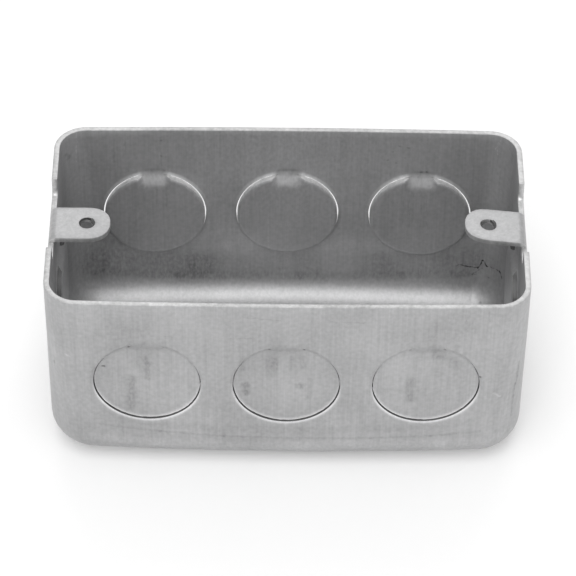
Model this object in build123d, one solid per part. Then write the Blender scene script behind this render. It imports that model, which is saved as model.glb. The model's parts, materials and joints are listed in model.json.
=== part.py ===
from build123d import *
import math
import os

# One-piece drawn steel outlet box, millimetres, +Z up.
# It stands on its bottom at z = 0, mouth up, centred on x = 0 and y = 0.

# Drawn body
LENGTH = 99.0  # outside, from end wall to end wall
WIDTH = 55.0  # outside, across the middle of the long walls at the rim
WALL_BOW = 0.9  # how far each long wall bellies out between its corners
WALL_LEAN = 1.0  # how far each long wall leans in, from the rim to the bottom
DEPTH = 47.6  # from the rim to the face that it stands on
SHEET = 1.2  # thickness of the sheet
CORNER = 7.6  # outside radius of the upright corners
BASE_ROUND = 7.2  # outside radius between the walls and the bottom
RIM_EASE = 0.35  # bevel of the rim's outer edge

# Knockouts: round discs punched inward and held by one tie each
KO_DIAMETER = 22.2
KO_PITCH = 28.75  # centre to centre along a row
KO_ROW = 3  # discs in a row along each long wall and the bottom
KO_DROP = 22.9  # from the rim down to the centres of the wall discs
KO_PUSH = 1.6  # how far a disc stands inward of its wall
KO_SHEAR = 0.12  # gap round a disc
KO_ROLL = 0.4  # bevelled lip where the sheared edges roll over
TIE_WIDTH = 6.4
TIE_ON_WALL = 0.8  # how far a tie's ramp reaches onto the wall
TIE_ON_DISC = 3.4  # how far it reaches onto the disc
TIE_THINNING = 0.06  # metal lost on each face where a tie is stretched

# Ears that take the device screws
SCREW_SPACING = 83.34  # between the two tapped holes
SCREW_HOLE = 3.1
EAR_WIDTH = 9.8
EAR_DROP = 2.5  # from the rim down to the ear's upper face
EAR_BEND = 0.5  # inside radius of the bend
YOKE_NOTCH = 20.6  # width of the notch in the rim round each ear
NOTCH_ROUND = 1.2

# Holes for fastening the box through its bottom
FIXING_HOLE = 4.8
FIXING_ACROSS = 26.0  # between the two lines of holes

OVERSHOOT = 2.0  # how far a cutter runs past what it cuts
OVERLAP = 0.6  # how far a joined piece reaches into its neighbour


def belly_radius():
    """Radius of a long wall's outer face, from its bow over the length."""
    return ((LENGTH / 2) ** 2 + WALL_BOW**2) / (2 * WALL_BOW)


def belly_plane(side):
    """Plane on the axis of a long wall's belly, with z up along the lean."""
    lean = math.atan(WALL_LEAN / DEPTH)
    outward = Vector(0, side * math.cos(lean), -math.sin(lean))
    middle_of_rim = Vector(0, side * WIDTH / 2, DEPTH)
    upward = Vector(side, 0, 0).cross(outward)
    return Plane(middle_of_rim - outward * belly_radius(), outward, upward)


def belly(side, inset):
    """Leaning cylinder whose face is a long wall, moved in by an inset."""
    # Half a turn keeps the cylinder's seam off the wall.
    cylinder = Cylinder(belly_radius() - inset, 4 * DEPTH, rotation=(0, 0, 180))
    return cylinder.moved(belly_plane(side).location)


def drawn_form(inset, top):
    """Punch form of the box, moved in by an inset, with its edges rounded."""
    standing = (Align.CENTER, Align.CENTER, Align.MIN)
    block = Box(LENGTH - 2 * inset, 2 * WIDTH, top - inset, align=standing)
    block = block.moved(Location((0, 0, inset)))
    form = (block & belly(1, inset) & belly(-1, inset)).solid()
    form = form.fillet(CORNER - inset, form.edges().group_by(Axis.Z)[1])
    return form.fillet(BASE_ROUND - inset, form.edges().group_by(Axis.Z)[0])


def bevelled_form():
    """Outer form of the box with the edge of its rim bevelled."""
    standing = (Align.CENTER, Align.CENTER, Align.MIN)
    below = Box(2 * LENGTH, 4 * WIDTH, DEPTH - RIM_EASE, align=standing)
    below = drawn_form(0, DEPTH) & below
    full = below.faces().sort_by(Axis.Z)[-1]
    eased = drawn_form(RIM_EASE, DEPTH).faces().sort_by(Axis.Z)[-1]
    bevel = Solid.make_loft([full.outer_wire(), eased.outer_wire()], ruled=True)
    return below.fuse(bevel)


def open_box():
    """Drawn shell, open at its mouth."""
    return bevelled_form().cut(drawn_form(SHEET, DEPTH + OVERSHOOT))


def long_wall_frame(x, height, side):
    """Plane on a long wall's outer face, with z outward and y up the wall."""
    axis = belly_plane(side)
    radius = belly_radius()
    turn = math.asin(x / radius)
    normal = Vector(math.sin(turn), 0, 0) + axis.x_dir * math.cos(turn)
    start = axis.origin + normal * radius
    climb = (height - start.Z) / axis.z_dir.Z
    return Plane(start + axis.z_dir * climb, axis.z_dir.cross(normal), normal)


def end_wall_frame(height, side):
    """Plane on an end wall's outer face, with z outward and y up."""
    return Plane((side * LENGTH / 2, 0, height), (0, side, 0), (side, 0, 0))


def bottom_frame(x):
    """Plane on the bottom's outer face, with z outward."""
    return Plane((x, 0, 0), (1, 0, 0), (0, 0, -1))


def row_places():
    """Places of a row's centres along the box."""
    return [(i - (KO_ROW - 1) / 2) * KO_PITCH for i in range(KO_ROW)]


def knockout_frames():
    """Frames of all knockouts, two rows, one at each end and the bottom's."""
    height = DEPTH - KO_DROP
    frames = [long_wall_frame(x, height, side) for side in (-1, 1) for x in row_places()]
    frames += [end_wall_frame(height, side) for side in (-1, 1)]
    return frames + [bottom_frame(x) for x in row_places()]


def hole_cutter():
    """Sheared hole in its own frame, opening out at the wall's outer face."""
    radius = KO_DIAMETER / 2
    with BuildSketch(Plane.XZ) as profile:
        Polygon(
            (0, -SHEET - OVERSHOOT),
            (radius, -SHEET - OVERSHOOT),
            (radius, -KO_ROLL),
            (radius + KO_ROLL + OVERSHOOT, OVERSHOOT),
            (0, OVERSHOOT),
            align=None,
        )
    return revolve(profile.sketch, Axis.Z)


def disc():
    """Punched disc in its own frame, bevelled on its inner edge."""
    radius = KO_DIAMETER / 2 - KO_SHEAR
    inner_face = -KO_PUSH - SHEET
    with BuildSketch(Plane.XZ) as profile:
        Polygon(
            (0, -KO_PUSH),
            (radius, -KO_PUSH),
            (radius, inner_face + KO_ROLL),
            (radius - KO_ROLL, inner_face),
            (0, inner_face),
            align=None,
        )
    return revolve(profile.sketch, Axis.Z)


def ramp_line(lift):
    """Soft step of a tie, from the disc up to the wall, at one face."""
    top = KO_DIAMETER / 2 + TIE_ON_WALL
    low = KO_DIAMETER / 2 - TIE_ON_DISC
    return Spline((low, lift - KO_PUSH), (top, lift), tangents=[(1, 0), (1, 0)])


def tie():
    """Tie in the disc's frame: a strip of sheet that steps from wall to disc."""
    with BuildSketch(Plane.YZ) as profile:
        with BuildLine():
            outer = ramp_line(-TIE_THINNING)
            inner = ramp_line(TIE_THINNING - SHEET)
            Line(outer @ 0, inner @ 0)
            Line(outer @ 1, inner @ 1)
        make_face()
    return extrude(profile.sketch, amount=TIE_WIDTH / 2, both=True)


def ear_profile():
    """Side view of an ear at the +X end: up the wall, round the bend, inward."""
    top = DEPTH - EAR_DROP
    outside = LENGTH / 2
    inside = outside - SHEET
    outer_bend = EAR_BEND + SHEET
    tip = SCREW_SPACING / 2 - EAR_WIDTH / 2
    root = top - outer_bend - OVERLAP
    turn = inside - EAR_BEND
    with BuildSketch(Plane.XZ) as profile:
        with BuildLine():
            Line((outside, root), (outside, top - outer_bend))
            RadiusArc((outside, top - outer_bend), (turn, top), -outer_bend)
            Line((turn, top), (tip, top))
            Line((tip, top), (tip, top - SHEET))
            Line((tip, top - SHEET), (turn, top - SHEET))
            RadiusArc((turn, top - SHEET), (inside, top - outer_bend), EAR_BEND)
            Line((inside, top - outer_bend), (inside, root))
            Line((inside, root), (outside, root))
        make_face()
    return profile.sketch


def ear_plan():
    """Ear seen from above: straight sides and a full round about its hole."""
    reach = LENGTH / 2 - SCREW_SPACING / 2 + OVERSHOOT
    with BuildSketch() as plan:
        with Locations((SCREW_SPACING / 2, 0)):
            Circle(EAR_WIDTH / 2)
            Rectangle(reach, EAR_WIDTH, align=(Align.MIN, Align.CENTER))
            Circle(SCREW_HOLE / 2, mode=Mode.SUBTRACT)
    return plan.sketch


def ear():
    """Bent ear at the +X end, one with its wall."""
    strip = extrude(ear_profile(), amount=EAR_WIDTH, both=True)
    return strip & extrude(ear_plan(), amount=DEPTH + OVERSHOOT)


def yoke_notch():
    """Cutter for the notch in the +X end's rim, down to the ear's bend."""
    floor = DEPTH - EAR_DROP - EAR_BEND - SHEET
    height = DEPTH + OVERSHOOT - floor
    cutter = Box(4 * SHEET, YOKE_NOTCH, height, align=(Align.CENTER, Align.CENTER, Align.MIN))
    cutter = cutter.moved(Location((LENGTH / 2, 0, floor)))
    corners = cutter.edges().filter_by(Axis.X).group_by(Axis.Z)[0]
    return cutter.fillet(NOTCH_ROUND, corners)


def mirror_ends(piece):
    """Piece at the +X end and its mirror image at the other."""
    return [piece, piece.mirror(Plane.YZ)]


def fixing_holes():
    """Cutters for the holes through the bottom, between the knockouts."""
    places = row_places()
    middles = [(a + b) / 2 for a, b in zip(places, places[1:])]
    drill = Cylinder(FIXING_HOLE / 2, 4 * SHEET)
    sides = (-FIXING_ACROSS / 2, FIXING_ACROSS / 2)
    return [drill.moved(Location((x, y, 0))) for x in middles for y in sides]


def outlet_box():
    """The whole box as one solid."""
    frames = knockout_frames()
    cutter = hole_cutter()
    cutters = [cutter.moved(frame.location) for frame in frames]
    box = open_box().cut(*cutters)
    box = box.cut(*mirror_ends(yoke_notch()), *fixing_holes())
    slug = disc().fuse(tie())
    slugs = [slug.moved(frame.location) for frame in frames]
    return box.fuse(*mirror_ends(ear()), *slugs)


os.makedirs("parts", exist_ok=True)
shell = outlet_box()
export_step(shell, "parts/box_shell.step")
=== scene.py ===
"""Drawn steel outlet box on a pale studio floor."""

import json
import logging
import math
from dataclasses import dataclass, field
from enum import Enum

import bmesh
import bpy
from bmesh.types import BMEdge, BMesh
from bpy.types import Material, Node, NodeSocket, NodeTree, Object
from mathutils import Matrix, Vector, noise
from mathutils.bvhtree import BVHTree

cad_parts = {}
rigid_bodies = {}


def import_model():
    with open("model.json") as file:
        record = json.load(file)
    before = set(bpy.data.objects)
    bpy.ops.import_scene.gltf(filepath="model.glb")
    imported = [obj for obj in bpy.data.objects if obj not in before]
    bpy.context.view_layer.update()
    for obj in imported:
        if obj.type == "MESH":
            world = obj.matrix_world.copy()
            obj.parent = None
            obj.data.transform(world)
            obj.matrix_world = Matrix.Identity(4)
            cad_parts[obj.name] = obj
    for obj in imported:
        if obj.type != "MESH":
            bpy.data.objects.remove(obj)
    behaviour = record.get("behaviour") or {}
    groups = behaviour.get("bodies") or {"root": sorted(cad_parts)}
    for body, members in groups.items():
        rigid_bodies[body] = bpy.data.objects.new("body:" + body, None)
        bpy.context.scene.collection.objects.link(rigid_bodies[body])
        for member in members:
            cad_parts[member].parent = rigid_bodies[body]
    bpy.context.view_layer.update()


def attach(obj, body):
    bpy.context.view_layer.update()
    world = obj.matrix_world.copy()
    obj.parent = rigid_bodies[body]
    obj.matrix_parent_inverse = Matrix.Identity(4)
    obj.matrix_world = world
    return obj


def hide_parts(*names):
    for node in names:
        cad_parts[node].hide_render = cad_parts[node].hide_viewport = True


LOG = logging.getLogger("outlet_box")
MM = 0.001

# Sizes that several classes share, in millimetres
DEPTH = 47.6
KNOCKOUT_HEIGHT = 24.7
SCREW_FROM_MIDDLE = 41.67
EAR_HALF_WIDTH = 4.75
SAME = 0.01  # places closer than this are one place
RAMP_SOFTNESS = 0.35  # share of a tie's ramp that has soft ends


@dataclass(frozen=True)
class StudioCamera:
    """Long lens that looks down into the box from its front."""

    focal_pixels: float = 3327.3
    frame_pixels: float = 576.0
    sensor: float = 36.0
    distance: float = 673.26 * MM
    yaw: float = math.radians(-0.351)
    pitch: float = math.radians(44.002)
    roll: float = math.radians(0.796)
    aim: tuple = (0.095 * MM, -21.764 * MM, DEPTH * MM)

    def placement(self) -> Matrix:
        """Work out the camera's place and turn.

        Returns:
            The camera's world matrix.
        """
        back = Vector((
            math.sin(self.yaw) * math.cos(self.pitch),
            -math.cos(self.yaw) * math.cos(self.pitch),
            math.sin(self.pitch),
        ))
        right = (-back).cross(Vector((0, 0, 1))).normalized()
        up = right.cross(-back)
        cos_r, sin_r = math.cos(self.roll), math.sin(self.roll)
        rolled_right = cos_r * right + sin_r * up
        rolled_up = cos_r * up - sin_r * right
        turn = Matrix((rolled_right, rolled_up, back)).transposed().to_4x4()
        return Matrix.Translation(Vector(self.aim) + back * self.distance) @ turn

    def sight(self, pixel: tuple) -> tuple:
        """Follow the line of sight through a point of the frame.

        Args:
            pixel: Pixels across and down from the frame's upper left corner.

        Returns:
            The camera's place and the line's direction.
        """
        matrix = self.placement()
        half = self.frame_pixels / 2
        across = (pixel[0] - half) / self.focal_pixels
        up = (half - pixel[1]) / self.focal_pixels
        direction = matrix.to_3x3() @ Vector((across, up, -1.0))
        return matrix.translation, direction.normalized()

    def build(self) -> None:
        """Add the camera and make it the scene's own."""
        data = bpy.data.cameras.new("studio_camera")
        data.sensor_width = self.sensor
        data.lens = self.focal_pixels * self.sensor / self.frame_pixels
        data.clip_start, data.clip_end = 0.05, 20.0
        camera = bpy.data.objects.new("studio_camera", data)
        bpy.context.scene.collection.objects.link(camera)
        camera.matrix_world = self.placement()
        bpy.context.scene.camera = camera


@dataclass(frozen=True)
class Nodes:
    """Short ways to add nodes to one tree."""

    tree: NodeTree

    def feed(self, socket: NodeSocket, value: object) -> None:
        """Link an output to a socket, or set the socket's own value.

        Args:
            socket: The input.
            value: An output or a plain value.
        """
        if isinstance(value, NodeSocket):
            self.tree.links.new(value, socket)
        else:
            socket.default_value = value

    def add(self, kind: str, values: dict | None = None) -> Node:
        """Add one node.

        Args:
            kind: The node's type.
            values: Outputs or plain values for its inputs.

        Returns:
            The node.
        """
        node = self.tree.nodes.new("ShaderNode" + kind)
        for name, value in (values or {}).items():
            self.feed(node.inputs[name], value)
        return node

    def group(self, shared: NodeTree, values: dict) -> NodeSocket:
        """Place one shared group.

        Args:
            shared: The group.
            values: Outputs or plain values for its inputs.

        Returns:
            The group's output.
        """
        node = self.add("Group")
        node.node_tree = shared
        for name, value in values.items():
            self.feed(node.inputs[name], value)
        return node.outputs[0]

    def maths(self, operation: str, *values: object) -> NodeSocket:
        """Add one step of arithmetic.

        Args:
            operation: The kind of arithmetic.
            values: Outputs or plain numbers that go in.

        Returns:
            The result.
        """
        node = self.add("Math", dict(enumerate(values)))
        node.operation = operation
        return node.outputs[0]

    def vectors(self, operation: str, *values: object) -> NodeSocket:
        """Add one step of vector arithmetic.

        Args:
            operation: The kind of arithmetic.
            values: Outputs or plain values that go in.

        Returns:
            The result, a number for a length or a product, otherwise a vector.
        """
        node = self.add("VectorMath")
        node.operation = operation
        scaling = operation == "SCALE"
        sockets = [node.inputs[0], node.inputs["Scale"]] if scaling else node.inputs
        for socket, value in zip(sockets, values):
            self.feed(socket, value)
        return node.outputs["Value" if operation in ("LENGTH", "DOT_PRODUCT") else "Vector"]

    def grain(self, place: NodeSocket, stretch: tuple,
              detail: float) -> NodeSocket:
        """Add noise with its own fineness along each axis.

        Args:
            place: Where on the object.
            stretch: Grains in a metre along each axis.
            detail: Finer layers in the noise.

        Returns:
            The noise, from 0 to 1.
        """
        stretched = self.add("Mapping", {"Vector": place, "Scale": stretch}).outputs[0]
        node = self.add("TexNoise", {"Vector": stretched, "Scale": 1.0, "Detail": detail})
        return node.outputs["Fac"]

    def soft_step(self, value: object, low: object, high: object) -> NodeSocket:
        """Add a soft step from 0 at one value to 1 at another.

        Args:
            value: What is tested.
            low: Where the step starts.
            high: Where it ends.

        Returns:
            The step's height.
        """
        node = self.add("MapRange", {"Value": value, "From Min": low, "From Max": high})
        node.interpolation_type = "SMOOTHSTEP"
        return node.outputs["Result"]


@dataclass(frozen=True)
class Studio:
    """Pale floor, bright surroundings and soft lamps."""

    floor_size: float = 6.0
    floor_gap: float = 0.15 * MM
    floor_glow: float = 0.2
    sky: float = 0.68
    lamps: tuple = (
        ("rear_softbox", (0.05, 0.95, 0.95), 0.9, 3.0),
        ("top_softbox", (-0.1, -0.4, 1.15), 0.6, 4.0),
        ("front_softbox", (-0.15, -0.85, 0.95), 0.45, 2.6),
    )

    def build(self) -> None:
        """Build the floor, the surroundings and the lamps."""
        self.build_floor()
        self.build_sky()
        for name, place, size, power in self.lamps:
            self.build_lamp(name, Vector(place), size, power)

    def build_floor(self) -> None:
        """Lay the floor under the box."""
        shape = bmesh.new()
        bmesh.ops.create_grid(shape, x_segments=1, y_segments=1, size=self.floor_size / 2)
        bmesh.ops.translate(shape, vec=(0, 0, -self.floor_gap), verts=shape.verts)
        mesh = bpy.data.meshes.new("studio_floor")
        shape.to_mesh(mesh)
        shape.free()
        floor = bpy.data.objects.new("studio_floor", mesh)
        bpy.context.scene.collection.objects.link(floor)
        mesh.materials.append(self.floor_finish())

    def floor_finish(self) -> Material:
        """Make the white floor, which takes the box's shadow and is clear from below.

        Returns:
            The floor's material.
        """
        material = bpy.data.materials.new("studio_floor")
        material.use_nodes = True
        nodes = Nodes(material.node_tree)
        nodes.tree.nodes.clear()
        path = nodes.add("LightPath").outputs
        seen = nodes.maths("MAXIMUM", path["Is Camera Ray"], path["Is Glossy Ray"])
        paper = nodes.add("BsdfDiffuse", {"Color": (0.8, 0.8, 0.8, 1)})
        glow = nodes.add("Emission", {"Strength": nodes.maths("MULTIPLY", seen, self.floor_glow)})
        above = nodes.add("AddShader", {0: paper.outputs[0], 1: glow.outputs[0]})
        below = nodes.add("BsdfTransparent")
        side = nodes.add("NewGeometry").outputs["Backfacing"]
        both = nodes.add("MixShader", {0: side, 1: above.outputs[0], 2: below.outputs[0]})
        nodes.add("OutputMaterial", {"Surface": both.outputs[0]})
        return material

    def build_sky(self) -> None:
        """Surround the box with an even pale light that shows as white."""
        world = bpy.data.worlds.new("studio")
        world.use_nodes = True
        bpy.context.scene.world = world
        nodes = Nodes(world.node_tree)
        nodes.tree.nodes.clear()
        seen = nodes.add("LightPath").outputs["Is Camera Ray"]
        strength = nodes.add("MapRange", {"Value": seen, "To Min": self.sky, "To Max": 1.0})
        sky = nodes.add("Background", {
            "Color": (1, 1, 1, 1), "Strength": strength.outputs["Result"]})
        nodes.add("OutputWorld", {"Surface": sky.outputs[0]})

    def build_lamp(self, name: str, place: Vector, size: float, power: float) -> None:
        """Hang one square softbox that faces the box.

        Args:
            name: The lamp's name.
            place: Where it hangs, in metres.
            size: Length of its side.
            power: Its power in watts.
        """
        data = bpy.data.lights.new(name, "AREA")
        data.shape = "SQUARE"
        data.size = size
        data.energy = power
        lamp = bpy.data.objects.new(name, data)
        bpy.context.scene.collection.objects.link(lamp)
        lamp.location = place
        aim = Vector((0, 0, DEPTH * MM / 2)) - place
        lamp.rotation_mode = "QUATERNION"
        lamp.rotation_quaternion = aim.to_track_quat("-Z", "Y")


def start_group(name: str, inputs: dict, output: str) -> tuple:
    """Start a node group that several materials share.

    Args:
        name: The group's name.
        inputs: Names of its inputs and their kinds.
        output: Name of its one output, a number.

    Returns:
        Its nodes, what comes in and the socket that leads out.
    """
    tree = bpy.data.node_groups.new(name, "ShaderNodeTree")
    for socket, kind in inputs.items():
        tree.interface.new_socket(name=socket, in_out="INPUT", socket_type="NodeSocket" + kind)
    tree.interface.new_socket(name=output, in_out="OUTPUT", socket_type="NodeSocketFloat")
    source = tree.nodes.new("NodeGroupInput")
    sink = tree.nodes.new("NodeGroupOutput")
    return Nodes(tree), source.outputs, sink.inputs[output]


def layered_grain(name: str, layers: tuple) -> NodeTree:
    """Build a group that adds up layers of stretched noise.

    Args:
        name: The group's name.
        layers: For each layer its stretch, its detail and its share.

    Returns:
        The group.
    """
    nodes, given, result = start_group(name, {"Place": "Vector"}, "Height")
    total = 0.0
    for stretch, detail, share in layers:
        total = nodes.maths("MULTIPLY_ADD", nodes.grain(given["Place"], stretch, detail),
                            share, total)
    nodes.feed(result, total)
    return nodes.tree


def soft_stroke(name: str) -> NodeTree:
    """Build a group that masks a soft stroke round a short straight line.

    Args:
        name: The group's name.

    Returns:
        The group.
    """
    nodes, given, result = start_group(name, {
        "Place": "Vector", "Start": "Vector", "Run": "Vector", "Slope": "Float",
        "Reach": "Float"}, "Mask")
    away = nodes.vectors("SUBTRACT", given["Place"], given["Start"])
    along = nodes.vectors("DOT_PRODUCT", away, given["Run"])
    share = nodes.maths("MULTIPLY", along, given["Slope"])
    share = nodes.maths("MAXIMUM", nodes.maths("MINIMUM", share, 1.0), 0.0)
    nearest = nodes.vectors("SCALE", given["Run"], share)
    gap = nodes.vectors("LENGTH", nodes.vectors("SUBTRACT", away, nearest))
    core = nodes.maths("MULTIPLY", given["Reach"], 0.25)
    nodes.feed(result, nodes.maths("SUBTRACT", 1.0, nodes.soft_step(gap, core, given["Reach"])))
    return nodes.tree


@dataclass(frozen=True)
class SheetEffects:
    """Node groups that the finishes share."""

    draw_lines: NodeTree
    zinc_clouds: NodeTree
    mark: NodeTree


def sheet_effects() -> SheetEffects:
    """Build the lines of the drawing die, the clouds of the zinc and the marks.

    Returns:
        The groups.
    """
    return SheetEffects(
        layered_grain("draw_lines", (((2300, 2300, 45), 3.0, 0.65), ((420, 420, 16), 2.0, 0.35))),
        layered_grain("zinc_clouds", (((70, 70, 70), 3.0, 0.5), ((1100, 1100, 1100), 4.0, 0.5))),
        soft_stroke("mark"),
    )


@dataclass(frozen=True)
class Mark:
    """Stain, worn spot, scratch, painted highlight or painted shade, placed by the pixels at which
    it is seen.
    """

    name: str
    start: tuple
    end: tuple
    reach: float
    shade: float


@dataclass(frozen=True)
class SheetFinish:
    """Zinc-coated steel, drawn and a little stained, with painted highlights and painted shade
    among its marks and at its knockouts' edges.
    """

    name: str = "galvanised_sheet"
    tone: tuple = (0.43, 0.43, 0.434)
    metal: float = 0.6
    roughness: float = 0.44
    uneven_gloss: float = 0.24
    lines: float = 0.44
    clouds: float = 0.85
    darkest: float = 0.05
    ragged: float = 0.9 * MM
    ragged_scale: float = 900.0
    speckles: tuple = (1900, 1900, 900)
    speckle_edge: tuple = (0.3, 0.62)
    speckled: float = 0.55
    plain: float = 0.4
    relief: float = 0.3
    relief_depth: float = 0.06 * MM
    cloud_relief: float = 0.8
    # how far the edge attribute lightens the colour: worn bright edges together with painted
    # highlight and painted shade at the knockouts
    burnish_and_sheen: float = 1.1
    polish: float = -0.1

    def build(self, effects: SheetEffects, strokes: list) -> Material:
        """Make the material.

        Args:
            effects: The shared node groups.
            strokes: Marks with their ends on the sheet, in metres.

        Returns:
            The finished material.
        """
        material = bpy.data.materials.new(self.name)
        material.use_nodes = True
        nodes = Nodes(material.node_tree)
        shader = nodes.tree.nodes["Principled BSDF"]
        shader.inputs["Metallic"].default_value = self.metal
        place = nodes.add("TexCoord").outputs["Object"]
        lines = nodes.group(effects.draw_lines, {"Place": place})
        clouds = nodes.group(effects.zinc_clouds, {"Place": place})
        rubbed_and_lit = nodes.add("Attribute")
        rubbed_and_lit.attribute_type = "GEOMETRY"
        rubbed_and_lit.attribute_name = "rubbed_and_lit"
        rub_and_sheen = rubbed_and_lit.outputs["Fac"]
        shade = nodes.maths("MULTIPLY_ADD", lines, self.lines, 1.0 - self.lines / 2)
        cloudy = nodes.maths("MULTIPLY_ADD", clouds, self.clouds, -self.clouds / 2)
        shade = nodes.maths("ADD", shade, cloudy)
        # painted highlight and painted shade of the knockouts' edges, with their wear, from the
        # edge attribute
        shade = nodes.maths("MULTIPLY_ADD", rub_and_sheen, self.burnish_and_sheen, shade)
        if strokes:
            shade = nodes.maths("ADD", shade, self.soil_and_light(nodes, effects.mark, place, strokes))
        shade = nodes.maths("MAXIMUM", shade, self.darkest)
        nodes.feed(shader.inputs["Base Color"], nodes.vectors("SCALE", self.tone, shade))
        gloss = nodes.maths("MULTIPLY_ADD", clouds, self.uneven_gloss,
                            self.roughness - self.uneven_gloss / 2)
        gloss = nodes.maths("MULTIPLY_ADD", rub_and_sheen, self.polish, gloss)
        nodes.feed(shader.inputs["Roughness"], gloss)
        height = nodes.maths("MULTIPLY_ADD", clouds, self.cloud_relief, lines)
        bump = nodes.add("Bump", {
            "Strength": self.relief, "Distance": self.relief_depth, "Height": height})
        nodes.feed(shader.inputs["Normal"], bump.outputs[0])
        return material

    def soil_and_light(self, nodes: Nodes, mark: NodeTree, place: NodeSocket,
             strokes: list) -> NodeSocket:
        """Add up the marks, stains and painted light and shade alike, with ragged and speckled
        edges.

        Args:
            nodes: The material's nodes.
            mark: The shared group of one mark.
            place: Where on the object.
            strokes: Marks with their ends on the sheet, in metres.

        Returns:
            What the marks add to the shade.
        """
        wander = nodes.add("TexNoise", {"Vector": place, "Scale": self.ragged_scale})
        shift = nodes.vectors("SUBTRACT", wander.outputs["Color"], (0.5, 0.5, 0.5))
        loose = nodes.vectors("ADD", place, nodes.vectors("SCALE", shift, self.ragged))
        soil_and_light = 0.0
        for stroke, start, end in strokes:
            run = end - start
            mask = nodes.group(mark, {
                "Place": loose, "Start": start, "Run": run,
                "Slope": 1.0 / max(run.length_squared, 1e-12), "Reach": stroke.reach * MM})
            soil_and_light = nodes.maths("MULTIPLY_ADD", mask, stroke.shade, soil_and_light)
        speckle = nodes.soft_step(nodes.grain(place, self.speckles, 3.0), *self.speckle_edge)
        speckle = nodes.maths("MULTIPLY_ADD", speckle, self.speckled, self.plain)
        return nodes.maths("MULTIPLY", soil_and_light, speckle)


class Tint(Enum):
    """How strongly a mark darkens or brightens the zinc."""

    BLACK = -0.65
    STAIN = -0.3
    SHADE = -0.13
    HAZE = -0.06
    # lightens: scuffs, and painted highlights and painted light on the back wall
    SCUFF = 0.1
    RUB = 0.3


def streaks(name: str, tint: Tint, reach: float, *ends: tuple) -> list:
    """List the marks of one kind at one place.

    Args:
        name: What the marks are.
        tint: How they change the zinc.
        reach: Half their width in millimetres.
        ends: For each, its start and end in pixels.

    Returns:
        The marks.
    """
    return [Mark(f"{name}_{count}", start, end, reach, tint.value)
            for count, (start, end) in enumerate(ends)]


def trail(name: str, tint: Tint, reach: float, *stops: tuple) -> list:
    """List the marks of one kind that follow each other from stop to stop."""
    return streaks(name, tint, reach, *zip(stops, stops[1:]))


def dots(name: str, tint: Tint, reach: float, *spots: tuple) -> list:
    """List round marks of one kind, each at a pixel."""
    return streaks(name, tint, reach, *((spot, (spot[0] + 0.3, spot[1])) for spot in spots))


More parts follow.
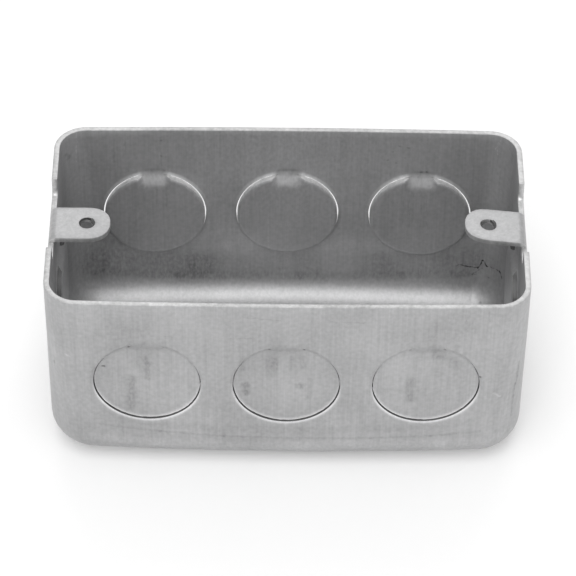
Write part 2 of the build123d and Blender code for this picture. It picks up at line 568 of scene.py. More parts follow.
# Marks on the sheet: mostly stains, wear and scratches, with painted highlights and painted shade
# where noted.
MARKS = (
    *dots("front_disc_speck", Tint.BLACK, 0.5, (103, 366), (480, 377)),
    *dots("front_disc_stain", Tint.STAIN, 1.5, (245, 385), (300, 386), (246, 392)),
    *streaks("front_disc_streak", Tint.SHADE, 0.9,
             ((243, 358), (243, 369)), ((275, 360), (275, 368)), ((292, 357), (292, 368)),
             ((302, 357), (303, 368)), ((310, 380), (310, 398)), ((147, 358), (147, 378)),
             ((132, 378), (132, 408)), ((410, 380), (409, 400)), ((430, 358), (445, 357))),
    *streaks("front_disc_shade", Tint.SHADE, 2.2,
             ((145, 360), (147, 375)), ((131, 380), (133, 404)), ((411, 380), (409, 398)),
             ((438, 352), (456, 366)), ((270, 360), (270, 372))),
    *streaks("front_wall_smudge", Tint.HAZE, 6.0,
             ((448, 318), (470, 338)), ((440, 335), (462, 325)), ((120, 325), (150, 318)),
             ((112, 342), (128, 336)), ((190, 344), (222, 346)), ((208, 398), (222, 410))),
    *streaks("front_wall_scratch", Tint.SHADE, 0.22,
             ((243, 318), (262, 319)), ((262, 319), (281, 321)), ((228, 339), (252, 338)),
             ((150, 336), (176, 337)), ((330, 322), (366, 323)), ((83, 306), (84, 322)),
             ((466, 309), (466, 322)), ((489, 312), (490, 322))),
    *trail("die_line", Tint.SHADE, 0.5, (100, 424), (160, 431), (225, 436), (300, 438),
           (370, 438), (430, 436), (480, 431)),
    *trail("die_band", Tint.HAZE, 1.6, (120, 420), (200, 427), (300, 430), (400, 428),
           (470, 423)),
    # painted highlight along the front wall's foot
    *trail("base_gleam", Tint.SCUFF, 2.4, (90, 436), (160, 443), (300, 446), (440, 444),
           (500, 436)),
    *streaks("front_corner_rub", Tint.RUB, 0.35, ((65, 354), (70, 357)), ((494, 393), (500, 396))),
    *streaks("front_corner_scrape", Tint.STAIN, 0.4,
             ((515, 383), (511, 415)), ((519, 362), (516, 383)), ((54, 360), (54, 362))),
    *dots("back_wall_speck", Tint.STAIN, 0.4,
          (193, 249), (418, 177), (421, 172), (427, 172), (388, 160), (392, 152), (396, 163),
          (405, 158), (408, 148), (399, 146), (161, 141), (161, 156)),
    *streaks("back_wall_streak", Tint.SHADE, 0.35,
             ((125, 142), (125, 152)), ((160, 138), (161, 165)), ((114, 140), (114, 162)),
             ((157, 190), (157, 204)), ((166, 188), (167, 206))),
    *streaks("back_disc_scratch", Tint.SHADE, 0.18,
             ((404, 196), (403, 224)), ((409, 198), (409, 226)), ((414, 194), (413, 222)),
             ((421, 192), (421, 214)), ((427, 195), (427, 226))),
    # painted reflection near the right end of the back wall's foot: a dark curve, dark ticks and
    # pale patches standing in for the reflected outline of the ear and its shade
    *trail("back_wall_ear_reflection", Tint.BLACK, 0.3, (461, 265), (478, 268), (483, 260),
           (487, 266), (500, 272), (502, 279)),
    *streaks("back_wall_ear_reflection_tick", Tint.STAIN, 0.25,
             ((472, 274), (490, 278)), ((472, 274), (482, 268)), ((456, 266), (462, 264))),
    # the first two are the pale part of that painted reflection
    *dots("back_wall_scuff_and_sheen", Tint.SCUFF, 2.0,
          (487, 271), (479, 272), (349, 243), (345, 269), (226, 245)),
    # painted shade low on the back wall, and a painted dark line where it turns into the bottom
    *trail("back_foot_shade", Tint.SHADE, 5.5, (92, 263), (200, 264), (380, 264), (486, 263)),
    *trail("back_foot_shade_line", Tint.SHADE, 1.5, (96, 272), (180, 275), (300, 276), (400, 275),
           (470, 274)),
    *dots("back_wall_cloud", Tint.SCUFF, 9.0, (345, 256), (230, 240)),
    # painted light: the back wall brighter at its top middle
    *dots("back_wall_gleam", Tint.SCUFF, 26.0, (290, 150), (380, 150), (230, 160)),
    # painted shade low on the back wall, most towards its ends
    *dots("back_wall_dusk", Tint.SHADE, 12.0, (110, 262), (465, 262), (180, 268), (97, 246)),
    *streaks("back_corner_rub", Tint.RUB, 0.2,
             ((76.5, 133), (76.5, 162)), ((500, 141), (497, 155)), ((498, 142), (496, 150))),
    *dots("end_wall_smudge", Tint.STAIN, 0.9, (66, 155), (69, 157)),
    # painted shade standing in for small nicks in the rim, which the mesh does not have
    *dots("rim_nick_shade", Tint.STAIN, 0.5, (57, 150), (520, 153), (66, 134), (57, 181), (522, 194),
          (140, 304), (365, 305), (480, 303)),
)


class Wall(Enum):
    """Sides of the box that carry knockouts."""

    FRONT = "front"
    BACK = "back"
    LEFT = "left"
    RIGHT = "right"
    BOTTOM = "bottom"


class Slot(Enum):
    """Places of the finishes on the box."""

    SHEET = 0
    RIM = 1
    # cut faces painted dark as shade, in the front, end and bottom knockouts' gaps and the holes
    SHEAR = 2


def smooth_step(share: float) -> float:
    """Soften both ends of a rise.

    Args:
        share: How far along the rise.

    Returns:
        The height, from 0 to 1.
    """
    share = min(1.0, max(0.0, share))
    return share * share * (3 - 2 * share)


def soft_ramp(share: float) -> float:
    """Soften the ends of a straight ramp a little.

    Args:
        share: How far along the ramp.

    Returns:
        The height, from 0 to 1.
    """
    share = min(1.0, max(0.0, share))
    return RAMP_SOFTNESS * smooth_step(share) + (1 - RAMP_SOFTNESS) * share


def corners_of(shape: BMesh, edges: list) -> list:
    """List the vertices of some edges in the mesh's own order.

    Args:
        shape: The mesh.
        edges: Some of its edges.

    Returns:
        The vertices.
    """
    touched = {v for e in edges for v in e.verts}
    return [v for v in shape.verts if v in touched]


def round_off(shape: BMesh, edges: list, radius: float, segments: int,
              clamp_overlap: bool = False) -> None:
    """Round some edges.

    Args:
        shape: The mesh.
        edges: The edges.
        radius: How far the round reaches.
        segments: Faces across it.
        clamp_overlap: Whether neighbouring rounds give way to each other.
    """
    bmesh.ops.bevel(shape, geom=edges, offset=radius, offset_type="OFFSET", segments=segments,
                    profile=0.5, affect="EDGES", material=-1, clamp_overlap=clamp_overlap)


@dataclass(frozen=True)
class DrawnForm:
    """Outer face of the drawn box, in millimetres.

    The long walls belly out and lean in towards the bottom. The upright
    corners grow rounder on the way down.
    """

    length: float = 99.0
    depth: float = DEPTH
    sheet: float = 1.2
    rim_width: float = 53.8
    base_width: float = 50.0
    rim_bow: float = 0.6
    base_bow: float = 1.8
    rim_corner: float = 6.6
    base_corner: float = 8.9
    base_round: float = 8.0
    blank_width: float = 55.0
    blank_corner: float = 8.4
    still_width: float = 14.0

    def between(self, base: float, rim: float, height: float) -> float:
        """Return a size that changes evenly from the bottom to the rim."""
        return base + (rim - base) * height / self.depth

    def shoulder(self, height: float) -> float:
        """Return half the width across the long walls at their corners."""
        return self.between(self.base_width, self.rim_width, height) / 2

    def belly(self, x: float, height: float) -> float:
        """Return how far a long wall stands out from its corners at a place."""
        bow = self.between(self.base_bow, self.rim_bow, height)
        return bow * (1 - (2 * x / self.length) ** 2)

    def reach(self, x: float, height: float) -> float:
        """Return the distance of a long wall's face from the middle plane."""
        return self.shoulder(height) + self.belly(x, height)

    def settle(self, flat: Vector) -> Vector:
        """Carry a point of the upright blank onto the drawn form.

        Args:
            flat: Point on the blank.

        Returns:
            The same point of the sheet after drawing.
        """
        x, y, z = abs(flat.x), abs(flat.y), flat.z
        corner = self.between(self.base_corner, self.rim_corner, z)
        start_x = self.length / 2 - self.blank_corner
        start_y = self.blank_width / 2 - self.blank_corner
        arc_x = self.length / 2 - corner
        arc_y = self.shoulder(z) - corner
        hair = SAME / 10
        if x > start_x + hair and y > start_y + hair:
            spoke = Vector((x - start_x, y - start_y))
            grown = spoke.normalized() * (spoke.length + corner - self.blank_corner)
            x = arc_x + grown.x
            y = arc_y + grown.y + self.belly(x, z) * spoke.normalized().y
        elif x < start_x + hair:
            x = arc_x if x > start_x - hair else x
            y = self.reach(x, z) - (self.blank_width / 2 - y)
        elif y > self.still_width:
            stretch = (arc_y - self.still_width) / (start_y - self.still_width)
            y = self.still_width + (y - self.still_width) * stretch
        return Vector((math.copysign(x, flat.x), math.copysign(y, flat.y), z))


@dataclass(frozen=True)
class Panel:
    """Place of one knockout on a side of the box."""

    form: DrawnForm
    wall: Wall
    middle: float
    height: float = KNOCKOUT_HEIGHT

    def outward(self) -> Vector:
        """Find the direction that this side faces at the knockout.

        Returns:
            The direction, of length 1.
        """
        if self.wall in (Wall.LEFT, Wall.RIGHT):
            return Vector((-1.0 if self.wall is Wall.LEFT else 1.0, 0, 0))
        if self.wall is Wall.BOTTOM:
            return Vector((0, 0, -1.0))
        side = -1.0 if self.wall is Wall.FRONT else 1.0
        reach, x, z = self.form.reach, self.middle, self.height
        turn = reach(x + 1, z) - reach(x - 1, z)
        lean = reach(x, z + 1) - reach(x, z - 1)
        return Vector((-turn, 2 * side, -lean)).normalized()

    def point(self, across: float, up: float, sunk: float) -> Vector:
        """Find a point of the side from its place round the knockout.

        Args:
            across: Distance sideways from the knockout's centre.
            up: Distance towards the rim.
            sunk: Depth behind the outer face.

        Returns:
            The point in the box's frame, in millimetres.
        """
        if self.wall is Wall.BOTTOM:
            face = Vector((self.middle + across, up, 0))
        elif self.wall in (Wall.LEFT, Wall.RIGHT):
            side = self.outward().x
            face = Vector((side * self.form.length / 2, self.middle + across, self.height + up))
        else:
            side = -1.0 if self.wall is Wall.FRONT else 1.0
            x, z = self.middle + across, self.height + up
            face = Vector((x, side * self.form.reach(x, z), z))
        return face - self.outward() * sunk


@dataclass(frozen=True)
class RubAndSheen:
    """How bright a knockout's sheared edges are painted, and over how many millimetres: worn edges
    with a painted highlight on the arc that faces the light, painted glints at the tie's corners
    and painted shade on the tie.
    """

    # arc that gets the painted highlight: -1 the lower arc, 1 the upper
    side: float = -1.0
    starts: float = -0.1
    grows: float = 0.7
    lip: float = 1.0
    lip_fade: float = 0.5
    lip_power: float = 1.0
    disc: float = 0.6
    disc_fade: float = 0.4
    # painted glints on the tie's soft edges near its top
    corner: float = 0.0
    corner_rise: float = 1.0
    # painted shade on the tie's ramp
    tie_shade: float = 0.04


@dataclass(frozen=True)
class Knockout:
    """Punched disc that one tie still holds, in millimetres."""

    panel: Panel
    rub_and_sheen: RubAndSheen = RubAndSheen()
    push: float = 1.5
    radius: float = 11.1
    gap: float = 0.3
    lip: float = 0.34
    lip_width: float = 0.75
    lip_power: float = 1.4
    lip_rings: tuple = (0.27, 0.19, 0.16, 0.13)
    disc_rings: tuple = (0.25, 0.3, 0.4, 0.5, 0.6, 0.8, 1.0, 1.3, 1.6, 1.8)
    burr: float = 0.24
    burr_width: float = 0.75
    jag: float = 0.12
    jag_scale: float = 1.7
    tie_half: float = 3.1
    tie_fade: float = 1.1
    ramp_top: float = 11.65
    ramp_foot: float = 8.7
    spokes: int = 112

    def tie(self, spot: Vector) -> tuple:
        """Find where a point lies on the tie.

        Args:
            spot: Its place round the knockout's centre, with the tie on top.

        Returns:
            How far inside the tie's width and how far up its ramp, from 0 to 1.
        """
        side = smooth_step((self.tie_half + self.tie_fade - abs(spot.x)) / self.tie_fade)
        return side, soft_ramp((spot.y - self.ramp_foot) / (self.ramp_top - self.ramp_foot))

    def held(self, spot: Vector) -> float:
        """Return how far the tie holds the disc at a point, from 0 to 1."""
        side, climb = self.tie(spot)
        return side * climb

    def disc_depth(self, spot: Vector) -> float:
        """Find how deep the disc's outer face lies.

        Args:
            spot: The place round the knockout's centre.

        Returns:
            The depth behind the wall's outer face.
        """
        start = self.radius - self.gap - self.burr_width
        curl = max(0.0, (spot.length - start) / self.burr_width)
        return (self.push - self.burr * curl ** 2) * (1 - self.held(spot))

    def wall_depth(self, spot: Vector) -> float:
        """Find how deep the wall's outer face lies beside the hole.

        Args:
            spot: The place round the knockout's centre.

        Returns:
            The depth behind the plain wall.
        """
        rest = max(0.0, 1 - (spot.length - self.radius) / self.lip_width)
        roll = self.lip * rest ** self.lip_power
        if spot.y <= 0:
            return roll
        side, climb = self.tie(spot)
        return side * self.push * (1 - climb) + (1 - side) * roll

    def shine(self, spot: Vector) -> float:
        """Tell how bright the edges are painted at a point, wear and painted highlight together.

        Args:
            spot: The place round the knockout's centre.

        Returns:
            How bright, with a painted highlight on the arc that faces the light and painted glints
            on the tie, below 0 where painted shade darkens the stretched tie.
        """
        rub_and_sheen, held = self.rub_and_sheen, self.held(spot)
        # the arc that faces the light gets the painted highlight
        turned = smooth_step((rub_and_sheen.side * spot.y / self.radius - rub_and_sheen.starts) / rub_and_sheen.grows)
        if spot.length >= self.radius - SAME:
            share = max(0.0, 1 - (spot.length - self.radius) / rub_and_sheen.lip_fade)
            bright = rub_and_sheen.lip * share ** rub_and_sheen.lip_power
        else:
            share = max(0.0, 1 - (self.radius - self.gap - spot.length) / rub_and_sheen.disc_fade)
            bright = rub_and_sheen.disc * share
        # painted glints on the tie's soft edges
        corner = rub_and_sheen.corner if spot.y > self.ramp_foot + rub_and_sheen.corner_rise else 0.0
        spots = 4 * held * (1 - held) * corner
        # painted highlight and glints, less the painted shade on the tie
        return bright * turned * (1 - held) + spots - rub_and_sheen.tie_shade * held

    def punch(self, shape: BMesh) -> list:
        """Add the hole's lip and the disc to the sheet.

        Args:
            shape: The sheet's outer face so far.

        Returns:
            The edges of the outer ring, which still hangs free.
        """
        inward = shape.verts.layers.float_vector["inward"]
        rubbed_and_lit = shape.verts.layers.float["rubbed_and_lit"]
        border = self.radius + self.lip_width
        lip = self.rings(shape, border, self.lip_rings, hollow=True)
        free = set(self.on_circle(lip, border))
        outer = [e for e in shape.edges if e.is_boundary and free.issuperset(e.verts)]
        disc = self.rings(shape, self.radius - self.gap, self.disc_rings, hollow=False)
        places = {v: Vector((v.co.x, v.co.y)) for v in lip + disc}
        depths = {v: self.wall_depth(places[v]) for v in lip}
        depths.update({v: self.disc_depth(places[v]) for v in disc})
        bore = self.on_circle(lip, self.radius)
        joined, jags = {}, {}
        for vert in self.on_circle(disc, self.radius - self.gap):
            place = places[vert]
            spot = self.panel.point(*place, 0.0)
            jags[vert] = self.jag * noise.noise(spot * self.jag_scale)
            if place.y > 0 and abs(place.x) < self.tie_half:
                joined[vert] = min(bore, key=lambda other: (places[other] - place).length)
        for vert, place in places.items():
            vert.co = self.panel.point(place.x, place.y + jags.get(vert, 0.0), depths[vert])
            vert[inward] = -self.panel.outward()
            vert[rubbed_and_lit] = self.shine(place)
        bmesh.ops.weld_verts(shape, targetmap=joined)
        return outer

    def rings(self, shape: BMesh, radius: float, steps: tuple,
              hollow: bool) -> list:
        """Draw a flat round of rings about the origin.

        Args:
            shape: The mesh to add to.
            radius: Outer radius.
            steps: Widths of the rings, from the outside in.
            hollow: Whether the middle stays open.

        Returns:
            The new vertices.
        """
        known = set(shape.verts)
        made = bmesh.ops.create_circle(
            shape, cap_ends=True, radius=radius, segments=self.spokes)
        middle = made["verts"][0].link_faces[0]
        for step in steps:
            bmesh.ops.inset_individual(
                shape, faces=[middle], thickness=step, use_even_offset=True)
        if hollow:
            bmesh.ops.delete(shape, geom=[middle], context="FACES_ONLY")
        else:
            bmesh.ops.poke(shape, faces=[middle])
        return [v for v in shape.verts if v not in known]

    def on_circle(self, verts: list, radius: float) -> list:
        """Pick the vertices that lie on a circle about the origin."""
        return [v for v in verts if abs(v.co.length - radius) < 2 * SAME]


@dataclass(frozen=True)
class Ear:
    """Bent ear with its tapped hole, in millimetres."""

    form: DrawnForm
    side: float
    half_width: float = EAR_HALF_WIDTH
    tip_reach: float = 4.9
    hole: float = 1.62
    hole_from_middle: float = SCREW_FROM_MIDDLE
    drop: float = 2.5
    bend: float = 1.7
    bend_steps: int = 6
    flat_start: float = 47.1
    root_shift: float = 0.0
    tip_shift: float = 0.0
    squareness: float = 2.3
    spokes: int = 24
    tip_rings: tuple = (1.4, 1.1, 0.63)

    def outline(self, turn: float) -> tuple:
        """Find a point of the tip's outline round the hole.

        Args:
            turn: Angle about the hole, 0 towards the wall.

        Returns:
            The distances towards the wall and sideways.
        """
        corner, back = math.radians(45), math.radians(90)
        if abs(turn) <= corner + 1e-6:
            return self.half_width, self.half_width * turn / corner
        if abs(turn) <= back:
            slide = (back - abs(turn)) / (back - corner)
            return self.half_width * slide, math.copysign(self.half_width, turn)
        along, beside = math.cos(turn), math.sin(turn)
        power = self.squareness
        narrow = beside * self.tip_reach / self.half_width
        reach = self.tip_reach * (abs(along) ** power + abs(narrow) ** power) ** (-1 / power)
        return along * reach, beside * reach

    def bend_out(self, shape: BMesh) -> None:
        """Bend the ear out of the notch's floor and round its tip.

        Args:
            shape: The sheet's outer face so far.
        """
        inward = shape.verts.layers.float_vector["inward"]
        wall = self.form.length / 2
        top = self.form.depth - self.drop
        floor = top - self.bend
        root = [e for e in shape.edges if e.is_boundary and all(
            abs(v.co.z - floor) < SAME and abs(v.co.y) < self.half_width + SAME
            and v.co.x * self.side > wall - 1 for v in e.verts)]
        known = set(shape.verts)
        spun = bmesh.ops.spin(
            shape, geom=root + corners_of(shape, root),
            cent=(self.side * (wall - self.bend), 0, floor), axis=(0, -self.side, 0),
            angle=math.radians(90), steps=self.bend_steps, use_duplicate=False)
        edges = [g for g in spun["geom_last"] if isinstance(g, BMEdge)]
        for stop in (self.flat_start, self.hole_from_middle + self.half_width):
            grown = bmesh.ops.extrude_edge_only(shape, edges=edges)["geom"]
            edges = [g for g in grown if isinstance(g, BMEdge)]
            for vert in corners_of(shape, edges):
                vert.co.x = self.side * stop
        self.tip(shape, top)
        fresh = [v for v in shape.verts if v not in known]
        bmesh.ops.remove_doubles(shape, verts=fresh, dist=SAME)
        for vert in shape.verts:
            if vert in known:
                continue
            past = abs(vert.co.x) - (wall - self.bend)
            risen = vert.co.z - floor
            spoke = Vector((self.side * past, 0, risen)).normalized()
            vert[inward] = -spoke if past > 0 else Vector((0, 0, -1))
            share = (wall - abs(vert.co.x)) / (wall - self.hole_from_middle)
            shift = self.root_shift + (self.tip_shift - self.root_shift) * min(1.3, max(0.0, share))
            vert.co.y += risen / self.bend * shift

    def tip(self, shape: BMesh, top: float) -> None:
        """Add the round tip with its hole.

        Args:
            shape: The sheet's outer face so far.
            top: Height of the ear's upper face.
        """
        made = bmesh.ops.create_circle(
            shape, cap_ends=True, radius=self.half_width, segments=self.spokes)
        rings = [made["verts"]]
        middle = rings[0][0].link_faces[0]
        for step in self.tip_rings:
            before = set(shape.verts)
            bmesh.ops.inset_individual(
                shape, faces=[middle], thickness=step, use_even_offset=True)
            rings.append([v for v in shape.verts if v not in before])
        bmesh.ops.delete(shape, geom=[middle], context="FACES_ONLY")
        for place, ring in enumerate(rings):
            share = place / (len(rings) - 1)
            for vert in ring:
                turn = math.atan2(vert.co.y, vert.co.x)
                border = Vector(self.outline(turn))
                hole = Vector((math.cos(turn), math.sin(turn))) * self.hole
                spot = border.lerp(hole, share)
                vert.co = Vector((self.side * (self.hole_from_middle + spot.x), spot.y, top))


@dataclass(frozen=True)
class OutletBox:
    """The drawn box in one sheet: form, knockouts, ears and holes."""

    form: DrawnForm = field(default_factory=DrawnForm)
    pitch: float = 28.75
    cell_across: float = 12.2
    cell_up: float = 12.4
    cell_steps: int = 14
    notch_half: float = 10.3
    notch_depth: float = 4.2
    notch_round: float = 1.2
    notch_gaps: float = 0.9
    wall_rows: tuple = (40.2, 45.6)
    rim_ease: float = 0.18
    wave: float = 0.07
    wave_length: float = 13.0
    fixing_radius: float = 2.4
    fixing_across: float = 13.0
    fixing_ring: float = 0.5
    bottom_shrink: tuple = (0.985, 0.97, 1.0)
    crisp: float = math.radians(55)
    slack: float = 0.2
    tapped_reach: float = 1.9
    ends_start: float = 45.0
    back_starts: float = 20.0

    def centres(self) -> tuple:
        """Return the places of a row's knockouts."""
        return (-self.pitch, 0.0, self.pitch)

    def knockouts(self) -> list:
        """List the knockouts of the walls and the bottom.

        Returns:
            The knockouts, with the bottom's three last.
        """
        form, row = self.form, self.centres()
        # front knockouts, seen from outside: painted highlight on the lower arcs of their edges,
        # which face up to the light
        front = [Knockout(Panel(form, Wall.FRONT, x), push=0.92, gap=0.22) for x in row]
        # back knockouts, seen from inside: painted highlight on the upper arcs, painted glints and
        # painted shade on the tie
        rub_and_sheen = RubAndSheen(1.0, lip=0.4, lip_fade=0.75, lip_power=0.5, disc=0.3, corner=0.35, tie_shade=0.22)
        back = [Knockout(Panel(form, Wall.BACK, x), rub_and_sheen, push=1.55, gap=0.26, tie_half=2.4,
                         ramp_foot=7.5, ramp_top=11.8) for x in row]
        ends = [Knockout(Panel(form, wall, 0.0)) for wall in (Wall.LEFT, Wall.RIGHT)]
        below = [Knockout(Panel(form, Wall.BOTTOM, x), push=1.3) for x in row]
        return front + back + ends + below

    def ears(self) -> list:
        """List the two ears, each a little askew."""
        return [Ear(self.form, -1.0, root_shift=-0.35, tip_shift=-0.3),
                Ear(self.form, 1.0, root_shift=-0.6, tip_shift=0.35)]

    def blank(self) -> BMesh:
        """Draw the plain box with its rounds, open at both faces.

        Returns:
            The outer face of the walls, still upright.
        """
        form = self.form
        shape = bmesh.new()
        shape.verts.layers.float_vector.new("inward")
        # edge brightness of each vertex: wear together with painted highlight and painted shade at
        # the knockouts
        shape.verts.layers.float.new("rubbed_and_lit")
        bmesh.ops.create_cube(shape, size=1.0)
        bmesh.ops.scale(shape, vec=(form.length, form.blank_width, form.depth),
                        verts=shape.verts)
        bmesh.ops.translate(shape, vec=(0, 0, form.depth / 2), verts=shape.verts)
        upright = [e for e in shape.edges if abs(e.verts[0].co.z - e.verts[1].co.z) > 1]
        round_off(shape, upright, form.blank_corner, 12)
        low = [e for e in shape.edges if all(v.co.z < SAME for v in e.verts)]
        round_off(shape, low, form.base_round, 10)
        flats = [f for f in shape.faces if abs(f.normal.z) > 0.999]
        bmesh.ops.delete(shape, geom=flats, context="FACES_ONLY")
        return shape

    def cut_lines(self, shape: BMesh) -> None:
        """Divide the walls along the knockouts, the notches and the ears.

        Args:
            shape: The box's walls.
        """
        half = self.cell_steps // 2
        steps = [i / half for i in range(-half, half + 1)]
        ear, notch = EAR_HALF_WIDTH, self.notch_half
        between = (ear + notch) / 2
        halves = (0.0, ear / 3, 2 * ear / 3, ear, between - self.notch_gaps,
                  between + self.notch_gaps, notch, self.cell_across)
        rows = [KNOCKOUT_HEIGHT + self.cell_up * step for step in steps]
        rows += [self.form.depth - self.notch_depth, *self.wall_rows]
        cuts = [(0, centre + self.cell_across * step) for centre in self.centres()
                for step in steps]
        cuts += [(1, side * place) for place in halves for side in (-1, 1)]
        cuts += [(2, row) for row in rows]
        for axis, place in cuts:
            facing = Vector([float(axis == i) for i in range(3)])
            bmesh.ops.bisect_plane(
                shape, geom=shape.verts[:] + shape.edges[:] + shape.faces[:], dist=1e-4,
                plane_co=facing * place, plane_no=facing)

    def open_cells(self, shape: BMesh) -> None:
        """Take out the faces where knockouts and notches go.

        Args:
            shape: The box's walls.
        """
        gone = []
        for face in shape.faces:
            spot = face.calc_center_median()
            long_wall, end_wall = abs(face.normal.y) > 0.99, abs(face.normal.x) > 0.99
            in_row = any(abs(spot.x - centre) < self.cell_across for centre in self.centres())
            cell = (long_wall and in_row) or (end_wall and abs(spot.y) < self.cell_across)
            level = abs(spot.z - KNOCKOUT_HEIGHT) < self.cell_up
            high = spot.z > self.form.depth - self.notch_depth
            if (level and cell) or (end_wall and high and abs(spot.y) < self.notch_half):
                gone.append(face)
        bmesh.ops.delete(shape, geom=gone, context="FACES")

    def outer_face(self) -> BMesh:
        """Make the whole outer face of the sheet.

        Returns:
            The open outer face, with its inward directions stored.
        """
        shape = self.blank()
        self.cut_lines(shape)
        self.open_cells(shape)
        for vert in shape.verts:
            vert.co = self.form.settle(vert.co)
        self.face_out(shape)
        inward = shape.verts.layers.float_vector["inward"]
        for vert in shape.verts:
            if vert.co.z < SAME:
                vert[inward] = Vector((0, 0, 1))
            elif vert.co.z > self.form.depth - SAME:
                vert[inward] = Vector((-vert.normal.x, -vert.normal.y, 0)).normalized()
            else:
                vert[inward] = -vert.normal if vert.normal.z < 0.05 else vert.normal
        *in_walls, first, second, third = self.knockouts()
        for knockout in in_walls:
            self.fit(shape, knockout)
        self.lay_bottom(shape, (first, second, third))
        for ear in self.ears():
            ear.bend_out(shape)
        for vert in shape.verts:
            swell = self.wave * noise.noise(vert.co / self.wave_length)
            vert.co += Vector(vert[inward]) * swell
        return shape

    def face_out(self, shape: BMesh) -> None:
        """Turn all faces of the walls outward.

        Args:
            shape: The box's walls.
        """
        bmesh.ops.recalc_face_normals(shape, faces=shape.faces)
        probe = max(shape.faces, key=lambda face: face.calc_center_median().x)
        if probe.normal.x < 0:
            bmesh.ops.reverse_faces(shape, faces=shape.faces)
        shape.normal_update()

    def fit(self, shape: BMesh, knockout: Knockout) -> None:
        """Join one knockout to the opening that waits for it.

        Args:
            shape: The sheet's outer face so far.
            knockout: The knockout to fit.
        """
        panel = knockout.panel
        centre = panel.point(0, 0, 0)
        beside = 1 if panel.wall in (Wall.LEFT, Wall.RIGHT) else 0
        slack = 10 * SAME
        cell = [e for e in shape.edges if e.is_boundary and all(
            abs(v.co[beside] - centre[beside]) < self.cell_across + slack
            and abs(v.co.z - centre.z) < self.cell_up + slack
            and abs((v.co - centre).dot(panel.outward())) < 1.0 for v in e.verts)]
        bmesh.ops.bridge_loops(shape, edges=cell + knockout.punch(shape))

    def lay_bottom(self, shape: BMesh, knockouts: tuple) -> None:
        """Fill the flat bottom round its knockouts and fixing holes.

        Args:
            shape: The sheet's outer face so far.
            knockouts: The bottom's knockouts.
        """
        inward = shape.verts.layers.float_vector["inward"]
        border = [e for e in shape.edges if e.is_boundary
                  and all(abs(v.co.z) < SAME for v in e.verts)]
        grown = bmesh.ops.extrude_edge_only(shape, edges=border)["geom"]
        edges = [g for g in grown if isinstance(g, BMEdge)]
        corners = corners_of(shape, edges)
        bmesh.ops.scale(shape, vec=self.bottom_shrink, verts=corners)
        for vert in corners:
            vert[inward] = Vector((0, 0, 1))
        for knockout in knockouts:
            edges += knockout.punch(shape)
        for x in (-self.pitch / 2, self.pitch / 2):
            for y in (-self.fixing_across, self.fixing_across):
                edges += self.ring_hole(shape, Vector((x, y, 0)))
        bmesh.ops.triangle_fill(shape, use_beauty=True, use_dissolve=False, edges=edges,
                                normal=(0, 0, -1))

    def ring_hole(self, shape: BMesh, place: Vector) -> list:
        """Add the ring of sheet round one fixing hole.

        Args:
            shape: The sheet's outer face so far.
            place: The hole's centre.

        Returns:
            The ring's outer edges.
        """
        inward = shape.verts.layers.float_vector["inward"]
        made = bmesh.ops.create_circle(
            shape, cap_ends=True, radius=self.fixing_radius + self.fixing_ring, segments=40,
            matrix=Matrix.Translation(place))
        middle = made["verts"][0].link_faces[0]
        rim = list(middle.edges)
        bmesh.ops.inset_individual(
            shape, faces=[middle], thickness=self.fixing_ring, use_even_offset=True)
        for vert in list(middle.verts) + made["verts"]:
            vert[inward] = Vector((0, 0, 1))
        bmesh.ops.delete(shape, geom=[middle], context="FACES_ONLY")
        return rim

    def thicken(self, shape: BMesh) -> None:
        """Give the sheet its thickness.

        Args:
            shape: The sheet's outer face, which becomes closed.
        """
        inward = shape.verts.layers.float_vector["inward"]
        outer = set(shape.verts)
        bmesh.ops.extrude_face_region(shape, geom=shape.faces[:], use_keep_orig=True)
        for vert in shape.verts:
            if vert not in outer:
                vert.co += Vector(vert[inward]) * self.form.sheet
        bmesh.ops.recalc_face_normals(shape, faces=shape.faces)
        for face in shape.faces:
            if sum(vert in outer for vert in face.verts) not in (0, len(face.verts)):
                face.material_index = self.cut_slot(face.calc_center_median()).value

    def cut_slot(self, spot: Vector) -> Slot:
        """Choose the finish of a cut face: trimmed and pale where it is lit, or sheared and painted
        dark as shade.

        Args:
            spot: The face's middle.

        Returns:
            The finish's place.
        """
        high = spot.z > self.form.depth - self.notch_depth - self.slack
        tapped = high and math.hypot(
            abs(spot.x) - SCREW_FROM_MIDDLE, spot.y) < self.tapped_reach
        # cut faces high on the box and on the back wall, which the light reaches, stay pale; the
        # others, in gaps and holes, get painted shade, the tapped holes too
        pale = high or spot.y > self.back_starts
        return Slot.RIM if pale and not tapped else Slot.SHEAR

    def ease_edges(self, shape: BMesh) -> None:
        """Round the notches' corners and break the sharp cut edges.

        Args:
            shape: The closed sheet.
        """
        floor = self.form.depth - self.notch_depth
        corners = [e for e in shape.edges if all(
            abs(v.co.z - floor) < self.slack and abs(v.co.x) > self.ends_start
            and abs(abs(v.co.y) - self.notch_half) < self.slack for v in e.verts)]
        round_off(shape, corners, self.notch_round, 5)
        edges = [e for e in shape.edges if e.calc_face_angle(0.0) > self.crisp and (
            all(v.co.z > floor - 1.0 for v in e.verts)
            or all(self.at_fixing(v.co) for v in e.verts))]
        round_off(shape, edges, self.rim_ease, 2, clamp_overlap=True)
        closed = all(e.is_manifold for e in shape.edges)
        LOG.info("sheet closed: %s, %d eased edges", closed, len(edges))

    def at_fixing(self, spot: Vector) -> bool:
        """Tell whether a point lies at the edge of a fixing hole.

        Args:
            spot: The point.

        Returns:
            True where it does.
        """
        along = abs(abs(spot.x) - self.pitch / 2)
        beside = abs(abs(spot.y) - self.fixing_across)
        return spot.z < 2.0 and math.hypot(along, beside) < self.fixing_radius + self.slack

    def build(self) -> Object:
        """Build the whole box.

        Returns:
            The finished piece.
        """
        shape = self.outer_face()
        self.thicken(shape)
        self.ease_edges(shape)
        for face in shape.faces:
            face.smooth = True
        piece = finished(shape, "drawn_box")
        piece.data.set_sharp_from_angle(angle=math.radians(40))
        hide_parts("box_shell")
        return piece


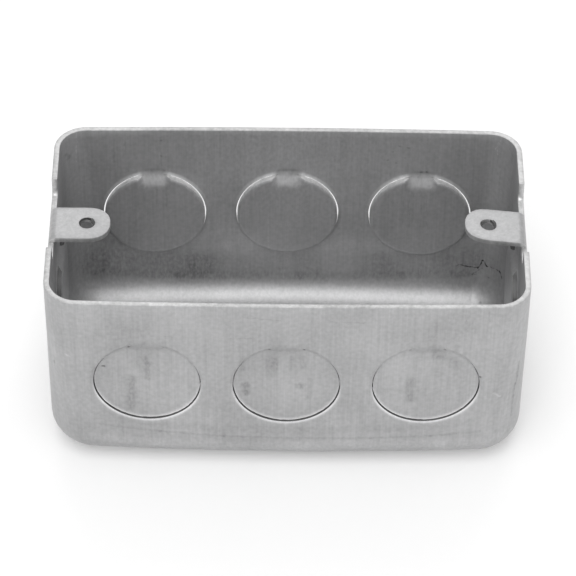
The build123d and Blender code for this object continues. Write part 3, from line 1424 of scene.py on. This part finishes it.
@dataclass(frozen=True)
class EarThread:
    """Thread tapped in one ear's hole, in millimetres."""

    ear: Ear
    pitch: float = 0.79
    ridge: float = 0.32
    foot: float = 0.06
    foot_half: float = 0.3
    turns: float = 1.15
    steps: int = 34

    def build(self) -> Object:
        """Wind the thread's ridge round the hole's wall.

        Returns:
            The finished piece.
        """
        ear = self.ear
        shape = bmesh.new()
        rise = self.pitch * self.turns
        low = ear.form.depth - ear.drop - ear.form.sheet / 2 - rise / 2
        foot, half = ear.hole + self.foot, self.foot_half
        for across, up in ((foot, -half), (ear.hole - self.ridge, 0.0), (foot, half)):
            bmesh.ops.create_vert(shape, co=(across, 0, low + up))
        corners = shape.verts[:]
        for first, second in zip(corners, corners[1:] + corners[:1]):
            shape.edges.new((first, second))
        bmesh.ops.spin(
            shape, geom=shape.verts[:] + shape.edges[:], cent=(0, 0, 0), axis=(0, 0, 1),
            dvec=(0, 0, rise / self.steps), angle=math.tau * self.turns, steps=self.steps,
            use_duplicate=False)
        bmesh.ops.holes_fill(shape, edges=[e for e in shape.edges if e.is_boundary], sides=3)
        place = (ear.side * ear.hole_from_middle, ear.tip_shift, 0)
        bmesh.ops.translate(shape, vec=place, verts=shape.verts)
        bmesh.ops.recalc_face_normals(shape, faces=shape.faces)
        return finished(shape, ("left" if ear.side < 0 else "right") + "_ear_thread")


def finished(shape: BMesh, name: str) -> Object:
    """Turn a mesh in millimetres into a piece of the box.

    Args:
        shape: The mesh, which is freed.
        name: The piece's name.

    Returns:
        The piece, riding with the box.
    """
    bmesh.ops.scale(shape, vec=(MM, MM, MM), verts=shape.verts)
    mesh = bpy.data.meshes.new(name)
    shape.to_mesh(mesh)
    shape.free()
    piece = bpy.data.objects.new(name, mesh)
    bpy.context.scene.collection.objects.link(piece)
    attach(piece, "root")
    return piece


def settle_marks(shell: Object, camera: StudioCamera, marks: tuple) -> list:
    """Find where each mark lies on the sheet.

    Args:
        shell: The drawn box.
        camera: The camera that sees the marks.
        marks: The marks.

    Returns:
        Each mark with the two ends of its stroke, in metres.
    """
    mesh = shell.data
    sheet = BVHTree.FromPolygons([v.co for v in mesh.vertices],
                                 [p.vertices for p in mesh.polygons])
    strokes = []
    for mark in marks:
        spots = [sheet.ray_cast(*camera.sight(pixel))[0] for pixel in (mark.start, mark.end)]
        if None in spots:
            LOG.warning("mark %s misses the sheet", mark.name)
        else:
            strokes.append((mark, *spots))
    return strokes


def main() -> None:
    """Build the camera, the studio and the box in order."""
    logging.basicConfig(level=logging.INFO, format="%(name)s: %(message)s")
    for stray in list(bpy.data.objects):
        bpy.data.objects.remove(stray)
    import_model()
    bpy.context.scene.view_settings.view_transform = "Standard"
    camera = StudioCamera()
    camera.build()
    Studio().build()
    box = OutletBox()
    shell = box.build()
    effects = sheet_effects()
    sheet = SheetFinish().build(effects, settle_marks(shell, camera, MARKS))
    rim = SheetFinish("trimmed_edge", tone=(0.5, 0.5, 0.5), roughness=0.42, clouds=1.6)
    # cut faces in gaps and holes, painted dark as shade
    shaded_cut = SheetFinish("sheared_edge_painted_shade", tone=(0.12, 0.12, 0.12), roughness=0.5, clouds=1.0)
    dark = shaded_cut.build(effects, [])
    finishes = {Slot.SHEET: sheet, Slot.RIM: rim.build(effects, []), Slot.SHEAR: dark}
    for slot in Slot:
        shell.data.materials.append(finishes[slot])
    LOG.info("drawn box built: %d faces", len(shell.data.polygons))
    for ear in box.ears():
        thread = EarThread(ear).build()
        # the thread in the tapped hole gets the same painted shade
        thread.data.materials.append(dark)
        LOG.info("%s built: %d faces", thread.name, len(thread.data.polygons))


if __name__ == "__main__":
    main()
